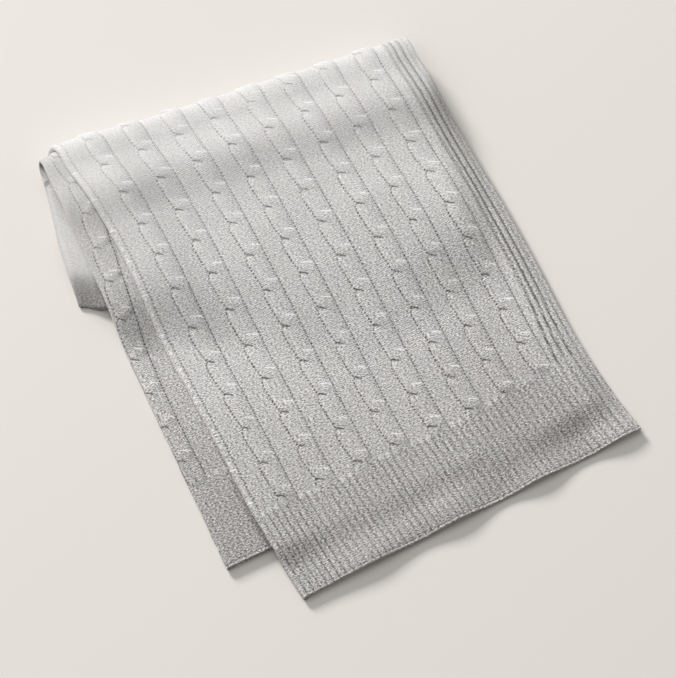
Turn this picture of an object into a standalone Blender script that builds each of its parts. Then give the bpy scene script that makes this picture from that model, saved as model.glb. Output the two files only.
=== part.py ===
"""Cable knit throw, folded and lying flat.

The throw is one knitted sheet. It is folded crosswise in half, then lengthwise in
back-and-forth layers, and the far end of that strip is turned under. The solid is that one
sheet with all its plies, a little apart, and with its cables and side ribs raised on the
faces that show. Metres, +Z up, the strip runs along +Y.
"""

import math

import bmesh
import bpy
import numpy as np

# Sheet, and how its plies and layers lie on each other
CLOTH_THICK = 0.0016
PLY_PITCH = 0.0022
LAYER_PITCH = 0.0046
FOLD_RADIUS = LAYER_PITCH / 2
OUTER_FACE = (PLY_PITCH + CLOTH_THICK) / 2
INNER_FACE = (PLY_PITCH - CLOTH_THICK) / 2
SIDE_GAP = FOLD_RADIUS - OUTER_FACE

# Edges of the folded strip seen from above, as places across it at places along it
RIGHT_EDGE = (
    # along, across
    (0.011, 0.4150),
    (0.055, 0.4100),
    (0.137, 0.4040),
    (0.258, 0.4074),
    (0.340, 0.4080),
    (0.410, 0.4056),
    (0.480, 0.4030),
    (0.540, 0.4022),
)
LEFT_FOLD = (
    # along, across
    (0.000, -0.0020),
    (0.100, -0.0060),
    (0.207, -0.0020),
    (0.356, 0.0020),
    (0.480, 0.0065),
    (0.560, 0.0010),
)
LOW_FOLD = (
    # along, across
    (0.000, -0.0645),
    (0.600, -0.0177),
)
HIDDEN_FOLD = (
    # along, across
    (0.000, 0.3720),
    (0.600, 0.4000),
)
TUCKED_WIDTH = 0.054

# Near ends of the layers
TOP_HEM_SLOPE = 0.027
LOW_HEM = 0.070
PLY_HEM_STEP = 0.0015
HEM_CLEAR = 0.004
HEM_SETTLE = 0.012

# Far end, turned under along a line that runs aslant
BEND_TILT = math.radians(8.2)
FAR_LINE = 0.603
BEND_LONG = 0.016
BEND_HIGH = 0.005
UNDER_END = 0.402
UNDER_SHORT = 0.087
UNDER_SWEEP = 0.0045
SWEPT_BY = 0.6
ROUNDED_WIDE = 0.030
ROUNDED_SHORT = 0.008
ROUNDED_IN = 0.003
ROUNDED_LOW = 0.45
ROUNDED_FROM = 0.75
SLUMP_LONG = 0.031

# Hollow inside the bend, and how the cloth above falls past what lies under it
HUMP = 0.005
HUMP_LONG = 0.090
HOLLOW_LEAST = 0.002
HOLLOW_FLAT = 0.030
HOLLOW_FALL = 0.100
EDGE_CLEAR = 0.003
DROP_EARLY = 0.020
DROP_LONG = 0.070
DROP_SOFT = 0.060
DROP_MIDDLE = 0.18
DROP_SPREAD = 0.10
SIDE_DROP = 0.050
TUCK_DROP = 0.070
HEM_DROP = 0.034
SLUMP_EASE = 0.030

# Knit pattern raised on the top layer
CABLE_PITCH = 0.0457
CABLE_HALF = 0.0120
CABLE_PINCH = 0.0025
CABLE_HIGH = 0.0020
CROSS_HIGH = 0.0008
FIRST_CABLE = 0.0520
TOP_CABLES = 8
FIRST_CROSS = 0.160
CROSS_STEP = 0.0440
ROWS_A_CROSS = 4
SIDE_RIBS = 4
RIB_PITCH = 0.0073
RIB_HIGH = 0.0010
HEM_BAND = 0.105
PATTERN_END = 0.500

# Steps of the mesh
FOLD_STEPS = 4
NEAR_STEPS = 3
FLAT_STEPS = 2
DROP_STEPS = 4
TOP_STEPS = 3
TURN_STEPS = 5
UNDER_STEPS = 4
CROSS_FOLD_STEPS = 3
WEDGE_STEPS = 3

HEATHER = (0.60, 0.59, 0.58, 1.0)
KNIT_ROUGH = 0.95


def ease(t):
    t = np.clip(t, 0.0, 1.0)
    return t * t * (3.0 - 2.0 * t)


def fall(beyond, width):
    """1 up to an edge, easing to 0 at that width beyond it."""
    return 1.0 - ease(beyond / width)


def edge_at(table, y):
    """Where an edge lies across the strip, carried on in a straight line past its ends."""
    rows = np.array(table)
    inside = np.interp(y, rows[:, 0], rows[:, 1])
    if len(rows) > 2:
        return inside
    slope = (rows[1, 1] - rows[0, 1]) / (rows[1, 0] - rows[0, 0])
    return rows[0, 1] + slope * (y - rows[0, 0])


def tuck_edge(y):
    """The left edge of the cloth, tucked under the third layer."""
    return edge_at(LOW_FOLD, y) + FOLD_RADIUS + TUCKED_WIDTH


def second_hem(x):
    """The second layer's hem, level with the top one at the left fold only."""
    return LOW_HEM * np.clip(x / HIDDEN_FOLD[0][1], 0, 1)


# Places measured from the far line: how far behind it, and how far along it
def behind(x, y):
    return -x * math.sin(BEND_TILT) + (FAR_LINE - y) * math.cos(BEND_TILT)


def along_bend(x, y):
    return x * math.cos(BEND_TILT) + (FAR_LINE - y) * math.sin(BEND_TILT)


def from_bend(back, along):
    x = along * math.cos(BEND_TILT) - back * math.sin(BEND_TILT)
    y = FAR_LINE - along * math.sin(BEND_TILT) - back * math.cos(BEND_TILT)
    return x, y


def past_under(x, y):
    """How far a place lies past the end of the cloth that is turned under."""
    return (UNDER_END - y) * math.cos(2 * BEND_TILT) - x * math.sin(2 * BEND_TILT)


def layers_at(x, y):
    """How many layers of doubled cloth lie at a place of the strip, with soft steps."""
    beside = fall(x - edge_at(HIDDEN_FOLD, y) - EDGE_CLEAR, HEM_DROP)
    second = beside * fall(second_hem(x) - y - EDGE_CLEAR, HEM_DROP)
    third = beside * fall(LOW_HEM - y - EDGE_CLEAR, HEM_DROP)
    fourth = third * fall(x - tuck_edge(y) - EDGE_CLEAR, TUCK_DROP)
    return 1.0 + second + third + fourth


def stack_at(x, y):
    return LAYER_PITCH * layers_at(x, y) - 2 * SIDE_GAP


def bend_start(x, y):
    return BEND_LONG + stack_at(x, y)


def drop_long(x):
    """How long the strip's fall past the turned under end is: longest in mid strip."""
    return DROP_LONG + DROP_SOFT * np.exp(-(((x - DROP_MIDDLE) / DROP_SPREAD) ** 2))


def lift(x, y):
    """How high the strip lies, over the cloth that is turned under it."""
    past = past_under(x, y)
    inside = behind(x, y) - bend_start(x, y)
    right_of = x - RIGHT_EDGE[-1][1] + math.tan(2 * BEND_TILT) * np.maximum(inside, 0)
    low = fall(past - EDGE_CLEAR, drop_long(x))
    short = fall(past + DROP_EARLY, DROP_EARLY + drop_long(x))
    under = LAYER_PITCH * (2 * short + (layers_at(x, y) - 2) * low) - 2 * SIDE_GAP * low
    hollow = HOLLOW_LEAST
    hollow += (2 * BEND_HIGH - HOLLOW_LEAST) * fall(inside - HOLLOW_FLAT, HOLLOW_FALL)
    hollow += HUMP * np.sin(math.pi * np.clip(inside / HUMP_LONG, 0, 1)) ** 2
    beside = fall(right_of - EDGE_CLEAR, SIDE_DROP)
    return beside * (np.maximum(under, 0) + low * hollow)


def low_lean(x):
    """How much the low layers' lines lean across, between the leans of their two folds."""
    (y0, left), (y1, left_far) = LOW_FOLD
    (_, right), (_, right_far) = HIDDEN_FOLD
    share = (x - left_far) / (right_far - left_far)
    return ((left_far - left) * (1 - share) + (right_far - right) * share) / (y1 - y0)


class Line:
    """One line of the knit along the throw, at its place in the lengthwise folds."""

    def __init__(self, across, depth, out=0.0, up=1.0, hem="low"):
        self.across = across
        self.depth = depth
        self.out = out
        self.up = up
        self.hem_kind = hem

    def hem(self, x):
        kinds = {"top": TOP_HEM_SLOPE * x, "second": second_hem(x), "low": LOW_HEM}
        return kinds[self.hem_kind]

    def shorter(self):
        """How much sooner than the low layers this line ends in the cloth turned under."""
        return UNDER_SHORT * (1 - float(self.hem(self.across(0.0))) / LOW_HEM)

    def row(self, kind, share, x):
        """Where a row before the bend lies along the strip, at a place across it."""
        hem = self.hem(x)
        tilt = 2 * BEND_TILT
        under = UNDER_END - x * math.tan(tilt)
        drop_end = under - (drop_long(x) + HEM_CLEAR) / math.cos(tilt)
        drop_start = under + DROP_EARLY / math.cos(tilt)
        bend = FAR_LINE - x * math.tan(BEND_TILT)
        bend -= bend_start(x, bend - BEND_LONG) / math.cos(BEND_TILT)
        clear = max(LOW_HEM - HEM_CLEAR, hem + HEM_CLEAR)
        ends = {
            "near": (hem, clear),
            "settle": (clear, LOW_HEM + HEM_SETTLE),
            "flat": (LOW_HEM + HEM_SETTLE, drop_end),
            "drop": (drop_end, drop_start),
            "top": (drop_start, bend),
        }
        first, last = ends[kind]
        return first + (last - first) * share

    def level(self, kind, share):
        """The point where this line crosses one of the rows before the bend."""
        y = 0.3
        for _ in range(4):
            x = float(self.across(y))
            y = float(self.row(kind, share, x))
        return x, y

    def before_bend(self, row, off):
        kind, share, turn = row
        off *= math.cos(turn)
        x, y = self.level(kind, share)
        if kind == "near" and off < 0:
            y += PLY_HEM_STEP * (1 - share)
        x += off * self.out
        depth = self.depth - off * self.up
        high = LAYER_PITCH * layers_at(x, y) - SIDE_GAP - depth
        return x, y, float(lift(x, y) + high)

    def at_bend(self):
        """The line's place on the bend's first row, and its drift along the bend."""
        x, y = self.level("top", 1.0)
        lean = (x - float(self.across(y - 0.02))) / 0.02
        if self.hem_kind == "low":
            lean = low_lean(x)
        ahead = lean * math.sin(BEND_TILT) + math.cos(BEND_TILT)
        return x, y, (lean * math.cos(BEND_TILT) - math.sin(BEND_TILT)) / ahead

    def round_bend(self, share, off):
        x, y, drift = self.at_bend()
        x += off * self.out
        stack = float(stack_at(x, y))
        high = stack + SIDE_GAP - self.depth + off * self.up
        angle = math.pi * share
        inner = math.atan2(BEND_LONG * math.sin(angle), BEND_HIGH * math.cos(angle))
        back = behind(x, y) - BEND_LONG * math.sin(inner) - high * math.sin(angle)
        rise = BEND_HIGH * math.cos(inner) + high * math.cos(angle)
        swept = angle * (high + BEND_HIGH) + 2 * share * (BEND_LONG - BEND_HIGH)
        px, py = from_bend(back, along_bend(x, y) + drift * swept)
        return px, py, BEND_HIGH + stack + rise

    def turned_under(self, share, off, turn):
        """A point of the cloth turned under, which drifts to the left on its way back. Its
        left corner is rounded and pressed flatter."""
        x, y, drift = self.at_bend()
        start_x, start_y, z = self.round_bend(1.0, off * math.cos(turn))
        back, along = behind(start_x, start_y), along_bend(start_x, start_y)
        next_x, next_y = from_bend(back + 1.0, along + drift)
        rate = past_under(next_x, next_y) - past_under(start_x, start_y)
        corner = float(fall(x - edge_at(LOW_FOLD, y), ROUNDED_WIDE))
        left = -past_under(start_x, start_y) - self.shorter() - ROUNDED_SHORT * corner
        run = (left * share + off * math.sin(turn)) / rate
        px, py = from_bend(back + run, along + drift * run)
        if self.hem_kind == "low":
            free = UNDER_SHORT * (1 - second_hem(x) / LOW_HEM) - SLUMP_LONG - HEM_CLEAR
            slump = fall(-past_under(px, py) - EDGE_CLEAR, SLUMP_LONG)
            z -= 2 * LAYER_PITCH * float(slump * ease(free / SLUMP_EASE))
        rounded = corner * ease((share - ROUNDED_FROM) / (1 - ROUNDED_FROM))
        px += ROUNDED_IN * rounded - UNDER_SWEEP * ease(share / SWEPT_BY)
        return px, py, z * (1 - ROUNDED_LOW * rounded)

    def point(self, row, off):
        """A point at a distance outward from the middle between the two plies."""
        kind, share, turn = row
        if kind == "turn":
            return self.round_bend(share, off * math.cos(turn))
        if kind == "under":
            return self.turned_under(share, off, turn)
        return self.before_bend(row, off)


def between(first, last, share):
    return lambda y: first(y) + (last(y) - first(y)) * share


def offset(edge, step):
    return lambda y: edge(y) + step


def strip_lines():
    """The lines of the knit from the right edge of the cloth to its tucked left edge."""
    right = lambda y: edge_at(RIGHT_EDGE, y)
    inner = lambda y: edge_at(HIDDEN_FOLD, y)
    left = offset(lambda y: edge_at(LEFT_FOLD, y), FOLD_RADIUS)
    low = offset(lambda y: edge_at(LOW_FOLD, y), FOLD_RADIUS)
    hidden = offset(inner, -FOLD_RADIUS)
    tuck = lambda y: np.maximum(tuck_edge(y), left(y)) + EDGE_CLEAR
    slope_end = offset(tuck, TUCK_DROP)
    clear = offset(inner, EDGE_CLEAR)
    shared = [
        between(hidden, slope_end, 1 / 3),
        between(hidden, slope_end, 2 / 3),
        slope_end,
        between(slope_end, tuck, 0.5),
        tuck,
    ]
    depth = [LAYER_PITCH * (n + 0.5) for n in range(4)]
    lines = [Line(between(right, clear, n / 2), depth[0], hem="top") for n in range(3)]
    lines += [Line(at, depth[0], hem="top") for at in [hidden, *shared]]

    def fold(centre, first, way, hem="low"):
        made = []
        for n in range(FOLD_STEPS + 1):
            angle = math.pi * n / FOLD_STEPS
            made.append(
                Line(
                    offset(centre, way * FOLD_RADIUS * math.sin(angle)),
                    first + FOLD_RADIUS * (1 - math.cos(angle)),
                    -math.sin(angle),
                    -way * math.cos(angle),
                    hem,
                )
            )
        return made

    lines += fold(left, depth[0], -1, "top")
    lines += [Line(at, depth[1], 0, -1, "second") for at in shared[::-1]]
    lines += fold(hidden, depth[1], 1)
    lines += [Line(at, depth[2]) for at in [*shared, left, between(left, low, 0.5)]]
    lines += fold(low, depth[2], -1)
    tucked = offset(low, TUCKED_WIDTH)
    lines += [Line(at, depth[3], 0, -1) for at in [between(low, tucked, 0.5), tucked]]
    return lines


def strip_rows():
    """The rows from the near hem, round the bend to the crosswise fold, and back."""
    rows = [("near", n / NEAR_STEPS, 0.0) for n in range(NEAR_STEPS + 1)]
    rows.append(("settle", 1.0, 0.0))
    for kind, steps in (("flat", FLAT_STEPS), ("drop", DROP_STEPS), ("top", TOP_STEPS)):
        rows += [(kind, (n + 1) / steps, 0.0) for n in range(steps)]
    rows += [("turn", (n + 1) / TURN_STEPS, 0.0) for n in range(TURN_STEPS)]
    rows += [("under", (n + 1) / UNDER_STEPS, 0.0) for n in range(UNDER_STEPS)]
    steps = range(1, CROSS_FOLD_STEPS)
    edge = [("under", 1.0, math.pi * n / CROSS_FOLD_STEPS) for n in steps]
    return rows + edge + [(kind, share, math.pi) for kind, share, _ in rows[::-1]]


LINES = strip_lines()
ROWS = strip_rows()
LEFT_LINE = 3 + 1 + 5
SETTLED_ROW = NEAR_STEPS + 1
BEND_ROW = SETTLED_ROW + FLAT_STEPS + DROP_STEPS + TOP_STEPS
TURNED_ROW = BEND_ROW + TURN_STEPS


def face_grid(off):
    return np.array([[line.point(row, off) for row in ROWS] for line in LINES])


# Cables and ribs of the top layer
def pattern_lines():
    """Lines of the raised pattern: place from the right edge, its kind and its side."""
    lines = [(0.0, "edge", 0.0)]
    for rib in range(SIDE_RIBS):
        lines += [(RIB_PITCH * (rib + 0.5), "rib", 0.0), (RIB_PITCH * (rib + 1), "edge", 0.0)]
    for cable in range(TOP_CABLES):
        centre = FIRST_CABLE + CABLE_PITCH * cable
        lines += [(centre, "cable", side) for side in (-1.0, -0.5, 0.0, 0.5, 1.0)]
    return lines


def raised(kind, side, phase):
    """(sideways shift, height) of a pattern line, by how far along a crossing it is.

    At each crossing a strand passes over from the far left to the near right, so the
    cable's left half is the higher one past it, and its right half before it."""
    if kind == "edge":
        return 0.0, 0.0
    if kind == "rib":
        return 0.0, RIB_HIGH
    near_cross = max(math.cos(2 * math.pi * phase), 0.0)
    shift = side * (CABLE_HALF - CABLE_PINCH * near_cross)
    if abs(side) == 1.0:
        return shift, 0.0
    if side == 0:
        return shift, CABLE_HIGH + CROSS_HIGH * near_cross
    twist = 2 * side * math.sin(2 * math.pi * phase)
    return shift, CABLE_HIGH + CROSS_HIGH * (twist - near_cross)


def across_row(grid, row, share):
    """A point on a row of the top face, by its share of the way from right to left."""
    run = grid[LEFT_LINE::-1, row]
    x = grid[0, row, 0] + share * (grid[LEFT_LINE, row, 0] - grid[0, row, 0])
    return np.array([x, np.interp(x, run[:, 0], run[:, 1]), np.interp(x, run[:, 0], run[:, 2])])


def on_top(grid, y, share):
    """A point on the top face before the bend, at a place along and across it."""
    rows = range(SETTLED_ROW, BEND_ROW + 1)
    run = np.array([across_row(grid, row, share) for row in rows])
    return np.array([np.interp(y, run[:, 1], run[:, k]) for k in range(3)])


def pattern_rows(grid):
    """Each row of the raised pattern: a function of the share across, and its turn."""
    step = CROSS_STEP / ROWS_A_CROSS
    first = math.ceil((HEM_BAND - FIRST_CROSS) / step + 0.5)
    last = math.floor((PATTERN_END - FIRST_CROSS) / step)
    levels = [HEM_BAND] + [FIRST_CROSS + step * n for n in range(first, last + 1)]
    rows = [(lambda share, y=y: on_top(grid, y, share), 0.0) for y in levels]
    for n in range(1, WEDGE_STEPS):

        def wedge(share, part=n / WEDGE_STEPS):
            bend_y = across_row(grid, BEND_ROW, share)[1]
            return on_top(grid, levels[-1] + part * (bend_y - levels[-1]), share)

        rows.append((wedge, 0.0))
    for n in range(TURN_STEPS + 1):
        rows.append((lambda share, n=n: across_row(grid, BEND_ROW + n, share), n / TURN_STEPS))
    return rows


def pattern_grid(grid):
    """The top face with its cables and ribs, as rows of points from right to left."""
    width = RIGHT_EDGE[-1][1] - LEFT_FOLD[-1][1] - FOLD_RADIUS
    rows, made = pattern_rows(grid), []
    along = np.full(len(pattern_lines()) + 1, HEM_BAND)
    before = None
    for index, (at, turn) in enumerate(rows):
        base = np.array([at(a / width) for a, _, _ in pattern_lines()] + [at(1.0)])
        if before is not None:
            along = along + np.linalg.norm(base - before, axis=1)
        before = base
        angle = math.pi * turn
        out = np.array(
            [
                math.sin(angle) * math.sin(BEND_TILT),
                math.sin(angle) * math.cos(BEND_TILT),
                math.cos(angle),
            ]
        )
        fade = float(fall(turn - 0.4, 0.5)) * (0.0 if index == 0 else 1.0)
        points = []
        for n, (a, kind, side) in enumerate(pattern_lines()):
            phase = (along[n] - FIRST_CROSS) / CROSS_STEP
            shift, high = raised(kind, side, phase)
            points.append(at((a + shift) / width) + out * high * fade)
        made.append(np.array([*points, base[-1]]))
    return made


# Solid
class Solid:
    """Points and faces of the one closed cloth."""

    def __init__(self):
        self.points = []
        self.faces = []

    def add(self, points):
        first = len(self.points)
        self.points += [tuple(p) for p in points]
        return list(range(first, len(self.points)))

    def zip_runs(self, one, two):
        """Triangles between two runs of points that start and end side by side."""
        lengths = []
        for run in (one, two):
            p = np.array([self.points[k] for k in run])
            total = np.concatenate([[0], np.cumsum(np.linalg.norm(np.diff(p, axis=0), axis=1))])
            lengths.append(total / total[-1])
        i = j = 0
        while i < len(one) - 1 or j < len(two) - 1:
            end_one, end_two = i == len(one) - 1, j == len(two) - 1
            if end_two or not end_one and lengths[0][i + 1] <= lengths[1][j + 1]:
                self.faces.append((one[i], one[i + 1], two[j]))
                i += 1
            else:
                self.faces.append((one[i], two[j + 1], two[j]))
                j += 1

    def grid(self, ids, skip=lambda i, j: False, other=lambda i, j: False):
        """Two triangles a cell, which meet on the cell's other diagonal where asked."""
        for i in range(len(ids) - 1):
            for j in range(len(ids[0]) - 1):
                if skip(i, j):
                    continue
                a, b, c, d = ids[i][j], ids[i + 1][j], ids[i + 1][j + 1], ids[i][j + 1]
                pair = [(a, b, d), (b, c, d)] if other(i, j) else [(a, b, c), (a, c, d)]
                self.faces += pair


def build_throw():
    solid = Solid()
    outer_grid, inner_grid = face_grid(OUTER_FACE), face_grid(INNER_FACE)
    outer = [solid.add(run) for run in outer_grid]
    inner = [solid.add(run) for run in inner_grid]
    first, last = SETTLED_ROW, TURNED_ROW + 1

    def patterned(i, j):
        return i <= LEFT_LINE and first <= j < last

    def mirrored(i, j):
        """Cells that run back along the strip or across it, but not both: their diagonals
        lie like those of the cells that they face."""
        return (j >= len(ROWS) // 2) != (LINES[i].up + LINES[i + 1].up < 0)

    solid.grid(outer, patterned, mirrored)
    last_cell = len(ROWS) - 2
    solid.grid([run[::-1] for run in inner], other=lambda i, j: not mirrored(i, last_cell - j))
    raised_rows = [solid.add(row) for row in pattern_grid(outer_grid)]
    solid.grid([row[::-1] for row in raised_rows])
    near = [outer[i][first] for i in range(LEFT_LINE + 1)]
    far = [outer[i][last] for i in range(LEFT_LINE + 1)]
    solid.zip_runs(near, raised_rows[0])
    solid.zip_runs(raised_rows[-1], far)
    left = [near[-1]] + [row[-1] for row in raised_rows] + [far[-1]]
    right = [near[0]] + [row[0] for row in raised_rows] + [far[0]]
    solid.zip_runs(left, outer[LEFT_LINE + 1][first : last + 1])
    solid.zip_runs(outer[0][: first + 1], inner[0][: first + 1])
    solid.zip_runs(right, inner[0][first : last + 1])
    solid.zip_runs(outer[0][last:], inner[0][last:])
    solid.zip_runs(outer[-1], inner[-1])
    solid.zip_runs([run[0] for run in outer], [run[0] for run in inner])
    solid.zip_runs([run[-1] for run in outer], [run[-1] for run in inner])
    return solid


def knit_material():
    material = bpy.data.materials.new("heather_knit")
    material.use_nodes = True
    shader = material.node_tree.nodes["Principled BSDF"]
    shader.inputs["Base Color"].default_value = HEATHER
    shader.inputs["Roughness"].default_value = KNIT_ROUGH
    shader.inputs["Metallic"].default_value = 0.0
    return material


def main():
    for old in list(bpy.data.objects):
        bpy.data.objects.remove(old, do_unlink=True)
    solid = build_throw()
    points = np.array(solid.points)
    low, high = points.min(axis=0), points.max(axis=0)
    points -= np.array([(low[0] + high[0]) / 2, (low[1] + high[1]) / 2, low[2]])
    mesh = bpy.data.meshes.new("throw")
    mesh.from_pydata([tuple(p) for p in points], [], solid.faces)
    shaped = bmesh.new()
    shaped.from_mesh(mesh)
    unused = [v for v in shaped.verts if not v.link_faces]
    bmesh.ops.delete(shaped, geom=unused, context="VERTS")
    bmesh.ops.recalc_face_normals(shaped, faces=shaped.faces[:])
    shaped.to_mesh(mesh)
    shaped.free()
    mesh.shade_smooth()
    throw = bpy.data.objects.new("throw", mesh)
    throw.data.materials.append(knit_material())
    bpy.context.scene.collection.objects.link(throw)


main()
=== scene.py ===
"""Looks of the cable knit throw: the whole knitted sheet as one fine closed mesh, its knit
material, the pale floor it lies on, the soft light and the camera of the photograph."""

import math

import bmesh
import bpy
import numpy as np
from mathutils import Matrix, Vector


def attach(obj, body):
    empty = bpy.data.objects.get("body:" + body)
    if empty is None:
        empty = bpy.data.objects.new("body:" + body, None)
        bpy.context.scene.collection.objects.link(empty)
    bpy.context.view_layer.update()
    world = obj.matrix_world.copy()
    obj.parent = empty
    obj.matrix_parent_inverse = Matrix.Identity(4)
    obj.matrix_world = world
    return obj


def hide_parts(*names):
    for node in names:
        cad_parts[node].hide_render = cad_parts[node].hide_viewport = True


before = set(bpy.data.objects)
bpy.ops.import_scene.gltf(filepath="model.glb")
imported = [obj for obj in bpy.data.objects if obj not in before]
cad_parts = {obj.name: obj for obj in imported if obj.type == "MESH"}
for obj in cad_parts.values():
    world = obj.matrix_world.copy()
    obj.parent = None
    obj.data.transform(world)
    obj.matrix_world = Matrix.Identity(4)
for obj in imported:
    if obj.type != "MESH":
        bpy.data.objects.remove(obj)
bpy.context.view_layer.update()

# Sheet, and how its plies and layers lie on each other
CLOTH_THICK = 0.0016
PLY_PITCH = 0.0022
LAYER_PITCH = 0.0046
FOLD_RADIUS = LAYER_PITCH / 2
OUTER_FACE = (PLY_PITCH + CLOTH_THICK) / 2
INNER_FACE = (PLY_PITCH - CLOTH_THICK) / 2
SIDE_GAP = FOLD_RADIUS - OUTER_FACE

# The strip's near left corner, seen from the middle of the object's underside
CORNER = (-0.17702, -0.30116)

# Edges of the folded strip: places across it (second) at places along it (first)
RIGHT_EDGE = (
    (0.011, 0.4150),
    (0.055, 0.4100),
    (0.137, 0.4040),
    (0.258, 0.4074),
    (0.340, 0.4080),
    (0.410, 0.4056),
    (0.480, 0.4030),
    (0.540, 0.4022),
)
LEFT_FOLD = (
    (0.000, -0.0020),
    (0.100, -0.0060),
    (0.207, -0.0020),
    (0.356, 0.0020),
    (0.480, 0.0065),
    (0.560, 0.0010),
)
LOW_FOLD = ((0.000, -0.0645), (0.600, -0.0177))
HIDDEN_FOLD = ((0.000, 0.3720), (0.600, 0.4000))
TUCKED_WIDTH = 0.054

# Near ends of the layers
TOP_HEM_SLOPE = 0.027
LOW_HEM = 0.070
PLY_HEM_STEP = 0.0015
HEM_CLEAR = 0.004
HEM_SETTLE = 0.012

# Far end, turned under along a line that runs aslant
BEND_TILT = math.radians(8.2)
FAR_LINE = 0.603
BEND_LONG = 0.016
BEND_HIGH = 0.005
UNDER_END = 0.402
UNDER_SHORT = 0.087
UNDER_SWEEP = 0.0045
SWEPT_BY = 0.6
ROUNDED_WIDE = 0.030
ROUNDED_SHORT = 0.008
ROUNDED_IN = 0.003
ROUNDED_LOW = 0.45
ROUNDED_FROM = 0.75
SLUMP_LONG = 0.031

# Hollow inside the bend, and how the cloth above falls past what lies under it
HUMP = 0.005
HUMP_LONG = 0.090
HOLLOW_LEAST = 0.002
HOLLOW_FLAT = 0.030
HOLLOW_FALL = 0.100
EDGE_CLEAR = 0.003
DROP_EARLY = 0.020
DROP_LONG = 0.070
DROP_SOFT = 0.060
DROP_MIDDLE = 0.18
DROP_SPREAD = 0.10
SIDE_DROP = 0.050
TUCK_DROP = 0.070
HEM_DROP = 0.034
SLUMP_EASE = 0.030

# Near hem's waves, soft waves of the whole cloth, and where these set in above the surface
HEM_WAVES = (
    # height, place across, width
    (0.0042, 0.085, 0.040),
    (0.0070, 0.190, 0.034),
    (0.0068, 0.292, 0.030),
    (0.0074, 0.395, 0.030),
)
HEM_WAVE_LONG = 0.060
SOFT_WAVES = (
    # height, then across, along and start of one sine and of the other
    (0.0008, (31.0, 9.0, 0.7), (-6.0, 23.0, 1.1)),
    (0.0005, (57.0, -21.0, 2.0), (15.0, 47.0, 0.0)),
)
UNEVEN_FROM = 0.004
UNEVEN_HIGH = 0.016

# Broad ridge: places along the strip (second) at places across it (first)
RIDGE = ((0.00, 0.448), (0.14, 0.425), (0.27, 0.392), (0.42, 0.285))
RIDGE_HIGH = 0.0060
RIDGE_WIDE = 0.068

# Knit pattern, by place across from the ribbed edge and place along from the near hem
PATTERN_WIDE = 0.4115
CABLE_FIRST = 0.0512
CABLE_PITCH = 0.0457
CABLE_COUNT = 9
CABLE_HALF = 0.0109
STRAND_EDGE = 0.0022
CABLE_HIGH = 0.0023
NEAR_EDGE_AT = 0.0
FAR_EDGE_AT = 0.20
EDGE_LONG = 0.065
DIP_LONG = 0.13
CROSS_LONG = 0.20
SWEEP_IN = 0.0046
SWEEP_BACK = 0.18
SWEEP_OUT = 0.35
SWEEP_CURVE = 0.75
# The dash below each crossing's over strand, a crease with painted shadow, and the arc of
# painted highlight above it: their ends and widths
DASH = ((-0.0092, 0.0024), (-0.0012, -0.0040))
ARC = ((-0.0020, 0.0118), (0.0098, 0.0062))
DASH_WIDE = 0.0008
ARC_WIDE = 0.0007
STRAND_ROUND = 2.4
STRAND_HIGH = 0.90
CROSS_RISE = 0.34
STRAND_SLOPE = 0.003
BAND_HIGH = 0.95
DIP_LEFT = 0.55
DIP_RIGHT = 0.45
DIP_SHORT = 0.6
CROSS_LEAST = 0.02
CABLE_REACH = 0.021
WRAP_FAR = 0.05
WRAP_NEAR = 0.10
WRAP_FADES = (0.20, 0.12)
GUTTER_WIDE = 0.0010
GUTTER_DEEP = 0.0006
DOT_STEP = 0.0042

# Places of the crossings along the strip, and their step beyond the first and the last
CROSS_ROWS = (0.160, 0.2055, 0.2505, 0.2945, 0.338, 0.3825, 0.4247, 0.465, 0.506, 0.546, 0.583)
CROSS_STEP = 0.044

# Side ribs, which open towards the near end, and the hem's finer ones
RIB_COUNT = 4
RIB_PITCH = 0.0072
RIB_OPEN = 0.0020
RIB_OPEN_FROM = 0.10
RIB_OPEN_LONG = 0.12
RIB_INSET = 0.0020
RIB_HIGH = 0.0006
RIB_DEEP = 0.0016
RIB_GROOVE_WIDE = 0.00095
RIB_LINE_WIDE = 0.0010
RIBBED_PAST = 0.4
FIRST_RIB_WIDE = 0.009
FIRST_RIB_DEEP = 0.45
# How much painted shade the rib grooves get: less on the first rib, and less in the hem past a
# place across
FIRST_RIB_SHADE = 0.5
RIB_IN_HEM_SHADE = 0.5
RIB_IN_HEM_PAST = 0.012
RIB_NEAR_DEEP = 0.35
RIB_NEAR_FADES = (0.085, 0.030)
RIB_WHOLE_TURNS = 1.6
HEM_RIB_PITCH = 0.0080
HEM_RIB_DEEP = 0.0006
HEM_RIB_WIDE = 0.0012
# Painted shade in the hem ribs' grooves
HEM_RIB_SHADE = 0.45
HEM_RIBS_FROM = (0.028, 0.004)
HEM_SEAM = (0.0036, 0.0010, 0.0005)
HEM_EDGE_LONG = 0.0022
HEM_EDGE_FLAT = 0.25

# Columns of the knit, which in the photograph are not quite evenly spaced
COLUMNS = (
    # real place across, place in the even pattern
    (0.0000, 0.0000),
    (0.0330, 0.0330),
    (0.0527, 0.0512),
    (0.0978, 0.0969),
    (0.1407, 0.1426),
    (0.1877, 0.1883),
    (0.2345, 0.2340),
    (0.2785, 0.2797),
    (0.3254, 0.3254),
    (0.3729, 0.3711),
    (0.4200, 0.4182),
)

# Where the hem's ribs turn into cables: places along (second) at places across (first)
HEM_TURN_EARLY = 0.003
HEM_TURN_LONG = 0.009
CABLES_EARLY = 0.004
CABLES_LONG = 0.012
HEM_TURN = (
    (0.00, 0.104),
    (0.05, 0.107),
    (0.09, 0.103),
    (0.13, 0.108),
    (0.17, 0.106),
    (0.22, 0.106),
    (0.26, 0.108),
    (0.29, 0.112),
    (0.32, 0.115),
    (0.36, 0.120),
    (0.42, 0.122),
)

# The low layer's cable: places across the strip (second) at places along it (first)
LOW_CABLE = (
    (0.170, -0.0410),
    (0.213, -0.0395),
    (0.293, -0.0340),
    (0.378, -0.0235),
    (0.465, -0.0085),
    (0.530, 0.0020),
    (0.580, 0.0030),
)
LOW_CABLED = LOW_HEM + 0.103
LOW_CABLED_LONG = 0.006
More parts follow.
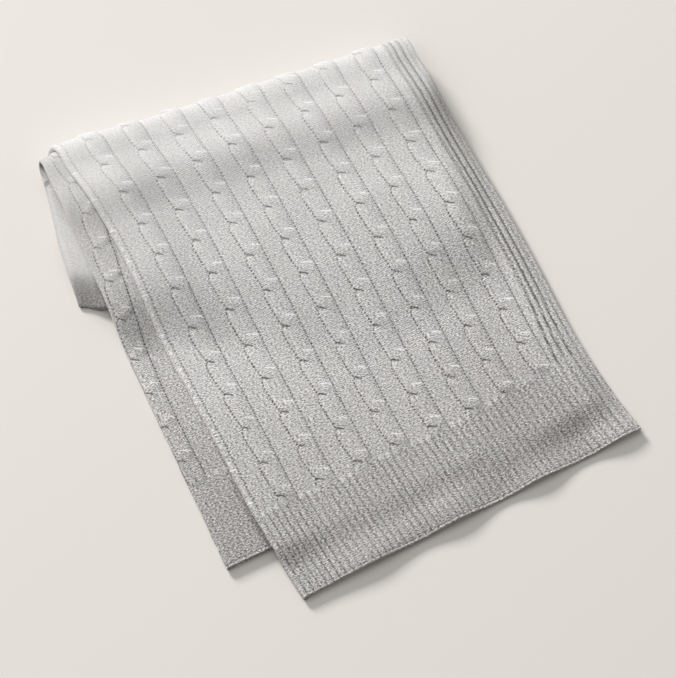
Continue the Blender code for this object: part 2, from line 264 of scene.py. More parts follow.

# Painted shade: how much darker than the plain face some places are painted where less light
# reaches them, and where this fades: the hem and the side ribs for their small shadows, the
# near end, the right half, the low layer's strip, the part turned under, the left fold's flank
# and the cloth beside it, the hollow inside the bend and the end of the part turned under
HEM_SHADE = 0.03
NEAR_SHADE = 0.16
RIGHT_SHADE = 0.03
SIDE_SHADE = 0.06
LOW_SHADE = 0.13
LOW_NEAR_SHADE = 0.20
UNDER_SHADE = 0.06
FOLD_SHADE = 0.34
BESIDE_FOLD = 0.0055
HOLLOW_SHADE = 0.50
CORNER_SHADE = 0.34
NEAR_FADES = (0.10, 0.24)
NEAR_PAST_RIBS = (0.02, 0.05)
NEAR_OVER_RIBS = (0.08, 0.08)
RIGHT_FROM = (0.20, 0.10)
RIGHT_FADES = (0.32, 0.12)
FOLD_FADES = (0.09, 0.14)
LOW_NEAR_FADES = (0.10, 0.22)
HOLLOW_FADES = (0.70, 0.30)
CORNER_FROM = 0.86

# Knit's relief fades into the bend's lower half
KNIT_FADES = (0.45, 0.40)

# Yarn: stitch sizes, and tones from 0, dark, to 1, light
WALE = 0.0026
COURSE = 0.0021
LOOP_LEAN = 1.1
LOOP_ROUND = 1.6
COLUMN_DEEP = 0.9
YARN_DARK = (0.15, 0.138, 0.128, 1.0)
YARN_LIGHT = (0.90, 0.885, 0.875, 1.0)
YARN_TONE = 0.66
HEATHER_SPREAD = 3.2
# Painted shade in the gutters, painted shadow of the dashes and painted highlight of the arcs
GUTTER_SHADE = 0.50
DASH_SHADOW = 0.50
ARC_HIGHLIGHT = 0.46
TURN_LIGHT = 0.26
HEM_STITCH_LIGHT = 0.20
# Painted highlight along the hem's rounded rim, and painted shade in the crease beside it
HEM_RIM_HIGHLIGHT = 0.25
HEM_CREASE_SHADE = 0.20
EDGE_REACH = 0.020
FAR_LINES = 0.45
LINE_WIDE = 0.0008
DOTS_LEAST = 0.12
GROOVE_SHADE = 1.5

# Lines of the hem, by place and width: its ribs' stitches, the rim with its painted highlight
# and the crease with its painted shade
HEM_STITCH_LINE = (0.0012, 0.0008)
HEM_RIM_LINE = (0.0016, 0.0009)
HEM_CREASE_LINE = (0.0040, 0.0008)

# Yarn's noise, how crisp it is along the top and past the bend, and heights of the bumps
CRISP_NEAR = (0.60, 0.24, 0.22, 1.0)
CRISP_UNDER = (0.64, 0.72, 0.0, 0.9)
NOISE_DETAIL = 3.0
NOISE_ROUGH = 0.62
GRAIN_SCALE = 640.0
GRAIN_STRETCH = (0.55, 1.15, 1.0)
BLOTCH_SCALE = 46.0
BLOTCH_SPREAD = 0.10
LOOP_MIDDLE = 0.55
LOOP_SPREAD = 0.16
LOOP_BUMP = 0.00055
GRAIN_BUMP = 0.0009
GUTTER_BUMP = 0.0011
DASH_BUMP = 0.0010
SHEEN = 0.20

# Surroundings, light and camera
FLOOR_COLOUR = (0.700, 0.672, 0.632, 1.0)
SKY_COLOUR = (1.0, 0.99, 0.975, 1.0)
SKY_STRENGTH = 0.30
LIGHT_FAR = 9.0
LIGHTS = (
    # name, direction from the throw, size in metres, power in watts
    ("key", (-0.14, 0.87, 0.46), 2.6, 970.0),
    ("soft", (-0.30, 0.20, 1.00), 8.0, 280.0),
)
CAMERA_BACK = (-0.2024, -0.3889, 0.8988)
CAMERA_FAR = 30.0
PICTURE_WIDE = 0.737
CAMERA_AIM = (-0.0021, -0.0385, 0.0)
FLOOR_HALF = 6.0
FLOOR_BELOW = 0.0002

# Kinds of rows: up to the bend's first row they are 0 to 4
BEFORE_BEND, IN_BEND, TURNED_UNDER = 4, 5, 6

# Steps of the meshes, and the plain row whose spacing gives its lines' places across
PLAIN_ROWS = (9, 3, 10, 10, 12, 14, 24)
BACK_ROWS = (6, 2, 6, 9, 8, 12, 26)
SHARED_STEPS = 16
TOP_ROWS = (32, 6, 76, 42, 74, 16)
TOP_LINES = 206
LOW_LINES = 26
FOLD_LINES = 8
EDGE_STEPS = 3
SLOPE_STEPS = 4
HIDDEN_STEPS = 6
LOW_STEPS = 20
TUCK_STEPS = 14
CROSS_FOLD = 4
SPACING_ROW = 30


def ease(t):
    t = np.clip(t, 0.0, 1.0)
    return t * t * (3.0 - 2.0 * t)


def fall(beyond, width):
    """1 up to an edge, easing to 0 at that width beyond it."""
    return 1.0 - ease(beyond / width)


def fade_past(place, fades):
    """1 up to a place, easing to 0 over a length: the two numbers of a fade."""
    start, long = fades
    return fall(place - start, long)


def rise_past(place, rises):
    """0 up to a place, easing to 1 over a length: the two numbers of a rise."""
    start, long = rises
    return ease((place - start) / long)


def bell(t):
    return np.exp(-t * t)


def smooth_table(table, y):
    """A smooth curve through the table's points, straight past its ends."""
    rows = np.array(table)
    t, v = rows[:, 0], rows[:, 1]
    if len(t) == 2:
        return v[0] + (v[1] - v[0]) * (y - t[0]) / (t[1] - t[0])
    slope = np.gradient(v, t)
    y = np.asarray(y, float)
    inside = np.clip(y, t[0], t[-1])
    k = np.clip(np.searchsorted(t, inside, side="right") - 1, 0, len(t) - 2)
    h = t[k + 1] - t[k]
    s = (inside - t[k]) / h
    a = (1 + 2 * s) * (1 - s) ** 2 * v[k] + s * (1 - s) ** 2 * h * slope[k]
    return a + s * s * (3 - 2 * s) * v[k + 1] + s * s * (s - 1) * h * slope[k + 1]


def tuck_edge(y):
    return smooth_table(LOW_FOLD, y) + FOLD_RADIUS + TUCKED_WIDTH


def second_hem(x):
    return LOW_HEM * np.clip(x / HIDDEN_FOLD[0][1], 0, 1)


def behind(x, y):
    return -x * math.sin(BEND_TILT) + (FAR_LINE - y) * math.cos(BEND_TILT)


def along_bend(x, y):
    return x * math.cos(BEND_TILT) + (FAR_LINE - y) * math.sin(BEND_TILT)


def from_bend(back, along):
    x = along * math.cos(BEND_TILT) - back * math.sin(BEND_TILT)
    return x, FAR_LINE - along * math.sin(BEND_TILT) - back * math.cos(BEND_TILT)


def past_under(x, y):
    return (UNDER_END - y) * math.cos(2 * BEND_TILT) - x * math.sin(2 * BEND_TILT)


def layers_at(x, y):
    beside = fall(x - smooth_table(HIDDEN_FOLD, y) - EDGE_CLEAR, HEM_DROP)
    second = beside * fall(second_hem(x) - y - EDGE_CLEAR, HEM_DROP)
    third = beside * fall(LOW_HEM - y - EDGE_CLEAR, HEM_DROP)
    fourth = third * fall(x - tuck_edge(y) - EDGE_CLEAR, TUCK_DROP)
    return 1.0 + second + third + fourth


def stack_at(x, y):
    return LAYER_PITCH * layers_at(x, y) - 2 * SIDE_GAP


def bend_start(x, y):
    return BEND_LONG + stack_at(x, y)


def drop_long(x):
    """How long the strip's fall past the turned under end is: longest in mid strip."""
    return DROP_LONG + DROP_SOFT * bell((x - DROP_MIDDLE) / DROP_SPREAD)


def lift(x, y):
    """How high the strip lies, over the cloth that is turned under it."""
    past = past_under(x, y)
    inside = behind(x, y) - bend_start(x, y)
    right_of = x - RIGHT_EDGE[-1][1] + math.tan(2 * BEND_TILT) * np.maximum(inside, 0)
    low = fall(past - EDGE_CLEAR, drop_long(x))
    short = fall(past + DROP_EARLY, DROP_EARLY + drop_long(x))
    under = LAYER_PITCH * (2 * short + (layers_at(x, y) - 2) * low) - 2 * SIDE_GAP * low
    hollow = HOLLOW_LEAST
    hollow = hollow + (2 * BEND_HIGH - HOLLOW_LEAST) * fall(inside - HOLLOW_FLAT, HOLLOW_FALL)
    hollow = hollow + HUMP * np.sin(math.pi * np.clip(inside / HUMP_LONG, 0, 1)) ** 2
    beside = fall(right_of - EDGE_CLEAR, SIDE_DROP)
    return beside * (np.maximum(under, 0) + low * hollow)


# Soft unevenness of the cloth
def hem_wave(x, y):
    """How far the two top layers' near hem stands off the surface, in soft waves."""
    wave = sum(high * bell((x - at) / wide) for high, at, wide in HEM_WAVES)
    return wave * fall(y, HEM_WAVE_LONG)


def undulation(x, y):
    """Soft waves, and the broad ridge across the strip over the cloth turned under it."""
    soft = RIDGE_HIGH * bell((y - smooth_table(RIDGE, x)) / RIDGE_WIDE)
    for high, *pair in SOFT_WAVES:
        one, other = [np.sin(across * x + along * y + start) for across, along, start in pair]
        soft = soft + high * one * other
    return soft


def low_lean(x):
    """How much the low layers' lines lean across, between the leans of their two folds."""
    (y0, left), (y1, left_far) = LOW_FOLD
    (_, right), (_, right_far) = HIDDEN_FOLD
    share = (x - left_far) / (right_far - left_far)
    return ((left_far - left) * (1 - share) + (right_far - right) * share) / (y1 - y0)


class Line:
    """One line of the knit along the throw, at its place in the lengthwise folds."""

    def __init__(self, across, depth, out=0.0, up=1.0, hem="low"):
        self.across = across
        self.depth = depth
        self.out = out
        self.up = up
        self.hem_kind = hem

    def hem(self, x):
        if self.hem_kind == "top":
            return TOP_HEM_SLOPE * x
        return second_hem(x) if self.hem_kind == "second" else np.full_like(x, LOW_HEM)

    def shorter(self):
        return UNDER_SHORT * (1 - float(self.hem(self.across(0.0))) / LOW_HEM)

    def row(self, kind, share, x):
        hem = self.hem(x)
        tilt = 2 * BEND_TILT
        under = UNDER_END - x * math.tan(tilt)
        drop_end = under - (DROP_LONG + HEM_CLEAR) / math.cos(tilt)
        drop_start = under + DROP_EARLY / math.cos(tilt)
        bend = FAR_LINE - x * math.tan(BEND_TILT)
        bend = bend - bend_start(x, bend - BEND_LONG) / math.cos(BEND_TILT)
        clear = np.maximum(LOW_HEM - HEM_CLEAR, hem + HEM_CLEAR)
        settled = np.full_like(x, LOW_HEM + HEM_SETTLE)
        ends = np.array([hem, clear, settled, drop_end, drop_start, bend])
        pick = np.arange(len(kind))
        first, last = ends[kind, pick], ends[kind + 1, pick]
        return first + (last - first) * share

    def level(self, kind, share):
        y = np.full(len(kind), 0.3)
        for _ in range(5):
            x = self.across(y)
            y = self.row(kind, share, x)
        return x, y

    def before_bend(self, kind, share, turn, off):
        off = off * np.cos(turn)
        x, y = self.level(kind, share)
        y = y + np.where((kind == 0) & (off < 0), PLY_HEM_STEP * (1 - share), 0.0)
        x = x + off * self.out
        depth = self.depth - off * self.up
        z = lift(x, y) + LAYER_PITCH * layers_at(x, y) - SIDE_GAP - depth
        if self.hem_kind in ("top", "second"):
            z = z + hem_wave(x, y)
        return x, y, z

    def at_bend(self):
        x, y = self.level(np.array([BEFORE_BEND]), np.array([1.0]))
        x, y = float(x[0]), float(y[0])
        lean = (x - float(self.across(y - 0.02))) / 0.02
        if self.hem_kind == "low":
            lean = low_lean(x)
        ahead = lean * math.sin(BEND_TILT) + math.cos(BEND_TILT)
        return x, y, (lean * math.cos(BEND_TILT) - math.sin(BEND_TILT)) / ahead

    def round_bend(self, share, off):
        x, y, drift = self.at_bend()
        x = x + off * self.out
        stack = stack_at(x, y)
        high = stack + SIDE_GAP - self.depth + off * self.up
        angle = math.pi * share
        inner = np.arctan2(BEND_LONG * np.sin(angle), BEND_HIGH * np.cos(angle))
        back = behind(x, y) - BEND_LONG * np.sin(inner) - high * np.sin(angle)
        rise = BEND_HIGH * np.cos(inner) + high * np.cos(angle)
        swept = angle * (high + BEND_HIGH) + 2 * share * (BEND_LONG - BEND_HIGH)
        px, py = from_bend(back, along_bend(x, y) + drift * swept)
        return px, py, BEND_HIGH + stack + rise

    def turned_under(self, share, off, turn):
        x, y, drift = self.at_bend()
        start_x, start_y, z = self.round_bend(np.ones(len(share)), off * np.cos(turn))
        back, along = behind(start_x, start_y), along_bend(start_x, start_y)
        next_x, next_y = from_bend(back + 1.0, along + drift)
        rate = past_under(next_x, next_y) - past_under(start_x, start_y)
        corner = fall(x - smooth_table(LOW_FOLD, y), ROUNDED_WIDE)
        left = -past_under(start_x, start_y) - self.shorter() - ROUNDED_SHORT * corner
        run = (left * share + off * np.sin(turn)) / rate
        px, py = from_bend(back + run, along + drift * run)
        if self.hem_kind == "low":
            free = UNDER_SHORT * (1 - second_hem(x) / LOW_HEM) - SLUMP_LONG - HEM_CLEAR
            slump = fall(-past_under(px, py) - EDGE_CLEAR, SLUMP_LONG)
            z = z - 2 * LAYER_PITCH * slump * ease(free / SLUMP_EASE)
        rounded = corner * ease((share - ROUNDED_FROM) / (1 - ROUNDED_FROM))
        px = px + ROUNDED_IN * rounded - UNDER_SWEEP * ease(share / SWEPT_BY)
        return px, py, z * (1 - ROUNDED_LOW * rounded)

    def points(self, rows, off):
        """The line's points at all rows, at a distance outward from between the plies."""
        kind, share, turn = rows
        made = np.zeros((len(kind), 3))
        early, bent, under = kind <= BEFORE_BEND, kind == IN_BEND, kind == TURNED_UNDER
        if early.any():
            made[early] = np.array(
                self.before_bend(kind[early], share[early], turn[early], off)
            ).T
        if bent.any():
            made[bent] = np.array(self.round_bend(share[bent], off * np.cos(turn[bent]))).T
        if under.any():
            made[under] = np.array(self.turned_under(share[under], off, turn[under])).T
        return made


def between(first, last, share):
    return lambda y: first(y) + (last(y) - first(y)) * share


def offset(edge, step):
    return lambda y: edge(y) + step


right_edge = lambda y: smooth_table(RIGHT_EDGE, y)
hidden_edge = lambda y: smooth_table(HIDDEN_FOLD, y)
left_inner = lambda y: smooth_table(LEFT_FOLD, y) + FOLD_RADIUS
low_inner = lambda y: smooth_table(LOW_FOLD, y) + FOLD_RADIUS
DEPTHS = [LAYER_PITCH * (n + 0.5) for n in range(4)]


def fold(centre, first, way, hem, steps):
    """Lines round a lengthwise fold, from a layer's depth to the next layer's."""
    made = []
    for n in range(steps + 1):
        angle = math.pi * n / steps
        at = offset(centre, way * FOLD_RADIUS * math.sin(angle))
        deep = first + FOLD_RADIUS * (1 - math.cos(angle))
        made.append(Line(at, deep, -math.sin(angle), -way * math.cos(angle), hem))
    return made


def plain_lines():
    """Lines of the plain mesh from the right edge to the tucked left edge, with the index
    of the left fold's last line and of the low fold's first and last lines."""
    hidden = offset(hidden_edge, -FOLD_RADIUS)
    tuck = lambda y: np.maximum(tuck_edge(y), left_inner(y)) + EDGE_CLEAR
    slope_end = offset(tuck, TUCK_DROP)
    clear = offset(hidden_edge, EDGE_CLEAR)
    shared = [between(hidden, slope_end, n / SHARED_STEPS) for n in range(1, SHARED_STEPS)]
    slope = [between(slope_end, tuck, n / SLOPE_STEPS) for n in range(1, SLOPE_STEPS)]
    shared += [slope_end, *slope, tuck]
    edge = [between(right_edge, clear, n / EDGE_STEPS) for n in range(EDGE_STEPS + 1)]
    lines = [Line(at, DEPTHS[0], hem="top") for at in [*edge, hidden, *shared]]
    lines += fold(left_inner, DEPTHS[0], -1, "top", HIDDEN_STEPS)
    left_last = len(lines) - 1
    lines += [Line(at, DEPTHS[1], 0, -1, "second") for at in shared[::-1]]
    lines += fold(hidden, DEPTHS[1], 1, "low", HIDDEN_STEPS)
    lines += [Line(at, DEPTHS[2]) for at in [*shared, left_inner]]
    low_first = len(lines) - 1
    shown = [between(left_inner, low_inner, n / LOW_STEPS) for n in range(1, LOW_STEPS)]
    lines += [Line(at, DEPTHS[2]) for at in shown]
    lines += fold(low_inner, DEPTHS[2], -1, "low", FOLD_LINES)
    low_last = len(lines) - 1
    end = offset(low_inner, TUCKED_WIDTH)
    tucked = [between(low_inner, end, n / TUCK_STEPS) for n in range(1, TUCK_STEPS + 1)]
    lines += [Line(at, DEPTHS[3], 0, -1) for at in tucked]
    return lines, left_last, low_first, low_last


def make_rows(steps, back=None):
    """Rows as (kind, share, turn): from the near hem round the bend, and back if asked."""
    rows = [(0, 0.0, 0.0)]
    for kind, count in enumerate(steps):
        rows += [(kind, (n + 1) / count, 0.0) for n in range(count)]
    if back is not None:
        turns = [math.pi * n / CROSS_FOLD for n in range(1, CROSS_FOLD)]
        rows += [(TURNED_UNDER, 1.0, turn) for turn in turns]
        behind_rows = [(0, 0.0, math.pi)]
        for kind, count in enumerate(back):
            behind_rows += [(kind, (n + 1) / count, math.pi) for n in range(count)]
        rows += behind_rows[::-1]
    kinds, shares, turns = zip(*rows)
    return np.array(kinds), np.array(shares), np.array(turns)


# Knit relief
def phase_along(y):
    """How many crossings a place along the strip lies past the first one."""
    rows = np.array(CROSS_ROWS)
    count = np.arange(len(rows))
    inside = np.interp(y, rows, count)
    before = np.minimum(y - rows[0], 0) / CROSS_STEP
    return inside + before + np.maximum(y - rows[-1], 0) / CROSS_STEP


def left_side(u):
    """How far left of the middle a cable's left gutter runs: in towards each crossing."""
    past = -u - np.floor(-u)
    swept = SWEEP_OUT * ease(past / SWEEP_BACK) - SWEEP_CURVE * past**2
    return CABLE_HALF + SWEEP_IN * swept


def rope(side, u):
    """(height, distance outside) of a cable, at a distance to the right of its middle and
    a share of the way between crossings, from -0.5 to 0.5.

    One strand passes over from the far left to the near right at u = 0, the other one
    under it. Between the crossings the two lie side by side as one smooth band."""
    near_edge = -CABLE_HALF + (CABLE_HALF - STRAND_EDGE) * (
        1 - ease((u - NEAR_EDGE_AT + EDGE_LONG) / (2 * EDGE_LONG))
    )
    far_edge = STRAND_EDGE + (CABLE_HALF - STRAND_EDGE) * (
        1 - ease((u - FAR_EDGE_AT + EDGE_LONG) / (2 * EDGE_LONG))
    )
    midway = (NEAR_EDGE_AT + FAR_EDGE_AT) / 2
    crossing = bell((u - midway) / CROSS_LONG)
    middle, half = (near_edge + far_edge) / 2, (far_edge - near_edge) / 2

    def dome(r):
        return np.sqrt(np.clip(1 - np.abs(r) ** STRAND_ROUND, 0, 1))

    left = left_side(u)
    band = np.where(side < 0, side / left, side / CABLE_HALF)
    over = dome((side - middle) / half) * (STRAND_HIGH + CROSS_RISE * crossing)
    past = np.maximum(-u, 0) / DIP_LONG
    low_left = ease((near_edge - side) / STRAND_SLOPE) * np.exp(-past) * (u < midway)
    past = np.maximum(u - FAR_EDGE_AT, 0) / (DIP_SHORT * DIP_LONG)
    low_right = ease((side - far_edge) / STRAND_SLOPE) * np.exp(-past) * (u > midway)
    plain = BAND_HIGH * dome(band) * (1 - DIP_LEFT * low_left - DIP_RIGHT * low_right)
    reach = np.where(side < 0, -side - left, side - CABLE_HALF)
    return np.maximum(over * (crossing > CROSS_LEAST), plain), reach


def wrapped(y):
    """How much of the column that wraps the left fold stands out: little, far along."""
    return WRAP_FAR + WRAP_NEAR * fade_past(y, WRAP_FADES)


def side_ribs(a, y):
    """(pitch of the side ribs, their inner end, how many ribs past it a place across is)."""
    pitch = RIB_PITCH + RIB_OPEN * (1 - ease((y - RIB_OPEN_FROM) / RIB_OPEN_LONG))
    inner = RIB_COUNT * pitch - RIB_INSET
    return pitch, inner, (a - inner) / pitch


def hem_grooves(a):
    turns = a / HEM_RIB_PITCH
    return bell(((turns - np.round(turns)) * HEM_RIB_PITCH) / HEM_RIB_WIDE)


def top_relief(a, y, x):
    """Height of the knit above the sheet, at a place across, along and on the strip."""
    phase = phase_along(y)
    u = phase - np.round(phase)
    high = np.zeros_like(a)
    cabled = ease((y - smooth_table(HEM_TURN, x) + CABLES_EARLY) / CABLES_LONG)
    for n in range(CABLE_COUNT):
        side = -(a - CABLE_FIRST - CABLE_PITCH * n)
        near = np.abs(side) < CABLE_REACH
        if not near.any():
            continue
        rope_high, reach = rope(side[near], u[near])
        part = CABLE_HIGH * rope_high - GUTTER_DEEP * bell(reach / GUTTER_WIDE)
        high[near] += part * cabled[near] * (wrapped(y[near]) if n == CABLE_COUNT - 1 else 1.0)
    pitch, inner, turns = side_ribs(a, y)
    ribbed = ease((inner + RIB_INSET - a) / RIB_INSET)
    groove = bell(((turns - np.round(turns)) * pitch) / RIB_GROOVE_WIDE)
    strong = np.where(a < FIRST_RIB_WIDE, FIRST_RIB_DEEP, 1.0)
    fading = RIB_NEAR_DEEP + (1 - RIB_NEAR_DEEP) * rise_past(y, RIB_NEAR_FADES)
    keep = np.where(a < RIB_WHOLE_TURNS * pitch, 1.0, fading)
    high += ribbed * (RIB_HIGH - RIB_DEEP * groove * strong * keep)
    high -= HEM_RIB_DEEP * hem_grooves(a) * (1 - cabled) * rise_past(a, HEM_RIBS_FROM)
    past_edge = y - TOP_HEM_SLOPE * x
    seam_at, seam_wide, seam_deep = HEM_SEAM
    high -= seam_deep * bell((past_edge - seam_at) / seam_wide)
    return high * (HEM_EDGE_FLAT + (1 - HEM_EDGE_FLAT) * ease(past_edge / HEM_EDGE_LONG))


def top_facts_at(a, y, x):
    """What the material needs to know of the top face's points."""
    in_hem = 1 - ease((y - smooth_table(HEM_TURN, x) + HEM_TURN_EARLY) / HEM_TURN_LONG)
    pitch, _, turns = side_ribs(a, y)
    ribbed, plain = turns < RIBBED_PAST, turns > RIBBED_PAST
    # Painted shade in the side ribs' grooves and in the hem ribs' grooves
    rib = bell((turns - np.round(turns)) * pitch / RIB_LINE_WIDE) * ribbed
    rib = rib * np.where(a < FIRST_RIB_WIDE, FIRST_RIB_SHADE, 1.0)
    rib = rib * (1 - RIB_IN_HEM_SHADE * in_hem * (a > RIB_IN_HEM_PAST))
    fine = HEM_RIB_SHADE * hem_grooves(a) * in_hem * plain
    # Painted shade: the hem and the side ribs darker for their small shadows, and the near end
    # and the right half darker where less light reaches them
    shade = HEM_SHADE * in_hem + SIDE_SHADE * ribbed * (1 - in_hem)
    by_ribs = np.maximum(rise_past(a, NEAR_PAST_RIBS), fade_past(y, NEAR_OVER_RIBS))
    shade = shade + NEAR_SHADE * fade_past(y, NEAR_FADES) * by_ribs
    at_right = rise_past(x, RIGHT_FROM) * fade_past(y, RIGHT_FADES)
    return dict(
        phase=phase_along(y),
        cabled=(1 - in_hem) * plain,
        groove=np.maximum(rib, fine),
        shade=shade + RIGHT_SHADE * at_right * plain,
        hem=in_hem * plain,
        edge=np.minimum(y - TOP_HEM_SLOPE * x, EDGE_REACH),
    )


def low_relief(a, y):
    """Height of the knit on the low layer's strip that shows: one cable and the plain."""
    phase = phase_along(y)
    u = phase - np.round(phase)
    rope_high, reach = rope(-a, u)
    cabled = ease((y - LOW_CABLED) / LOW_CABLED_LONG)
    high = (CABLE_HIGH * rope_high - GUTTER_DEEP * bell(reach / GUTTER_WIDE)) * cabled
    return high - HEM_RIB_DEEP * hem_grooves(a) * (1 - cabled)


def outward(grid):
    """Unit normals of a grid of points, pointing away from the cloth's inside."""
    across = np.gradient(grid, axis=0)
    along = np.gradient(grid, axis=1)
    n = np.cross(along, across)
    return n / np.maximum(np.linalg.norm(n, axis=2, keepdims=True), 1e-12)


# Facts of a point that the material reads, and those that aren't 0 on the plain faces
FACTS = ("phase", "cabled", "groove", "shade", "hem", "edge")
PLAIN_FACTS = {"edge": EDGE_REACH}


# Closed mesh
class Cloth:
    """Points of the closed cloth with their facts for the material, and its faces."""

    def __init__(self):
        self.points = []
        self.uv = []
        self.facts = {name: [] for name in FACTS}
        self.faces = []
        self.count = 0

    def add(self, points, uv, **facts):
        points = np.asarray(points)
        shape = points.shape[:-1]
        for name in FACTS:
            values = np.broadcast_to(facts.get(name, PLAIN_FACTS.get(name, 0.0)), shape)
            self.facts[name].append(values.reshape(-1))
        ids = self.count + np.arange(int(np.prod(shape))).reshape(shape)
        self.points.append(points.reshape(-1, 3))
        self.uv.append(np.asarray(uv).reshape(-1, 2))
        self.count += ids.size
        return ids

    def grid(self, ids, keep=None):
        a, b, c, d = ids[:-1, :-1], ids[1:, :-1], ids[1:, 1:], ids[:-1, 1:]
        quads = np.stack([a, b, c, d], axis=-1)
        quads = quads.reshape(-1, 4) if keep is None else quads[keep]
        self.faces += [quads[:, [0, 1, 2]], quads[:, [0, 2, 3]]]

    def zip_runs(self, one, two):
        """Faces between two runs of points that begin and end beside each other."""
        points = np.concatenate(self.points)
        lengths = []
        for run in (one, two):
            step = np.linalg.norm(np.diff(points[run], axis=0), axis=1)
            total = np.concatenate([[0], np.cumsum(step)])
            lengths.append(total / total[-1])
        i = j = 0
        made = []
        while i < len(one) - 1 or j < len(two) - 1:
            end_one, end_two = i == len(one) - 1, j == len(two) - 1
            if end_two or not end_one and lengths[0][i + 1] <= lengths[1][j + 1]:
                made.append((one[i], one[i + 1], two[j]))
                i += 1
            else:
                made.append((one[i], two[j + 1], two[j]))
                j += 1
        self.faces.append(np.array(made))


def along_run(grid):
    """Distance along each line of a grid from its first row."""
    step = np.linalg.norm(np.diff(grid, axis=1), axis=2)
    return np.concatenate([np.zeros((len(grid), 1)), np.cumsum(step, axis=1)], axis=1)


def uneven(points):
    """Adds the soft unevenness, more to what lies higher and none to what touches."""
    high = ease((points[..., 2] - UNEVEN_FROM) / UNEVEN_HIGH)
    points[..., 2] += undulation(points[..., 0], points[..., 1]) * high
    return points


def fine_face(lines, rows):
    """Points of a fine outer face, and how far along the strip each lies."""
    face = np.array([line.points(rows, OUTER_FACE) for line in lines])
    bend = sum(TOP_ROWS[:IN_BEND])
    run = along_run(face)
    y = face[..., 1].copy()
    y[:, bend:] = y[:, bend : bend + 1] + run[:, bend:] - run[:, bend : bend + 1]
    return uneven(face), y


def raise_knit(face, relief, lines_fade):
    """Moves a fine face outward by its knit relief, fading into the bend's lower half."""
    bend = sum(TOP_ROWS[:IN_BEND])
    share = np.zeros(face.shape[1])
    share[bend:] = np.linspace(0, 1, len(share) - bend)
    fade = fade_past(share, KNIT_FADES)[None, :] * lines_fade[:, None]
    return face + outward(face) * (relief * fade)[..., None]


def top_face(fine):
    """The top layer's fine face, round the left fold: its points, places and facts."""
    n = np.arange(TOP_LINES + 1) / TOP_LINES
    strip = [Line(between(right_edge, left_inner, k), DEPTHS[0], hem="top") for k in n]
    strip += fold(left_inner, DEPTHS[0], -1, "top", FOLD_LINES)[1:]
    top, y = fine_face(strip, fine)
    index = np.arange(len(strip))
    rounding = np.maximum(index - TOP_LINES, 0)
    a = PATTERN_WIDE * np.minimum(index, TOP_LINES) / TOP_LINES
    a = a + rounding * math.pi * FOLD_RADIUS / FOLD_LINES
    a = np.interp(a, *np.array(COLUMNS).T)
    a = np.broadcast_to(a[:, None], y.shape)
    relief = top_relief(a, y, top[..., 0])
    facts = top_facts_at(a, y, top[..., 0])
    # Painted shade on the left fold's turned-down flank, strongest towards the near hem
    turned_down = ease((rounding - 0.3 * FOLD_LINES) / (0.3 * FOLD_LINES))[:, None]
    facts["shade"] = facts["shade"] + FOLD_SHADE * turned_down * fade_past(y, FOLD_FADES)
    top = raise_knit(top, relief, fall(rounding - FOLD_LINES * 0.4, FOLD_LINES * 0.5))
    return top, np.stack([a, y], axis=-1), facts


def low_face(fine):
    """The low layer's fine face where it shows at the left: its points, places and facts."""
    n = np.arange(LOW_LINES + 1) / LOW_LINES
    strip = [Line(between(left_inner, low_inner, k), DEPTHS[2]) for k in n]
    strip += fold(low_inner, DEPTHS[2], -1, "low", FOLD_LINES)[1:]
    low, y = fine_face(strip, fine)
    rounding = np.maximum(np.arange(len(strip)) - LOW_LINES, 0)
    side = low[..., 0] - smooth_table(LOW_CABLE, y)
    side = side - rounding[:, None] * FOLD_RADIUS * 0.15
    shown = ease(np.arange(len(strip)) / 5.0) * fall(rounding - FOLD_LINES * 0.5, 3.0)
    low = raise_knit(low, low_relief(side, y), shown)
    cabled = ease((y - LOW_CABLED) / LOW_CABLED_LONG)
    # Painted shade on the low layer's strip: some all over it, more beside the top's fold and
    # towards the near end, and most in the hollow inside the bend
    beside = bell((low[..., 0] - smooth_table(LEFT_FOLD, y)) / BESIDE_FOLD)
    in_bend = (fine[0] == IN_BEND) * fade_past(fine[1], HOLLOW_FADES)
    in_bend = in_bend * ease((rounding - 3) / 2)[:, None]
    shade = LOW_SHADE + FOLD_SHADE * beside * fade_past(y, FOLD_FADES)
    shade = shade + LOW_NEAR_SHADE * fade_past(y, LOW_NEAR_FADES)
    facts = dict(
        phase=phase_along(y),
        cabled=cabled * (np.abs(side) < CABLE_PITCH / 2),
        shade=shade + HOLLOW_SHADE * in_bend,
        hem=1 - ease((y - LOW_CABLED) / HEM_TURN_LONG),
        edge=np.minimum(y - LOW_HEM, EDGE_REACH),
    )
    return low, np.stack([CABLE_FIRST - side, y], axis=-1), facts


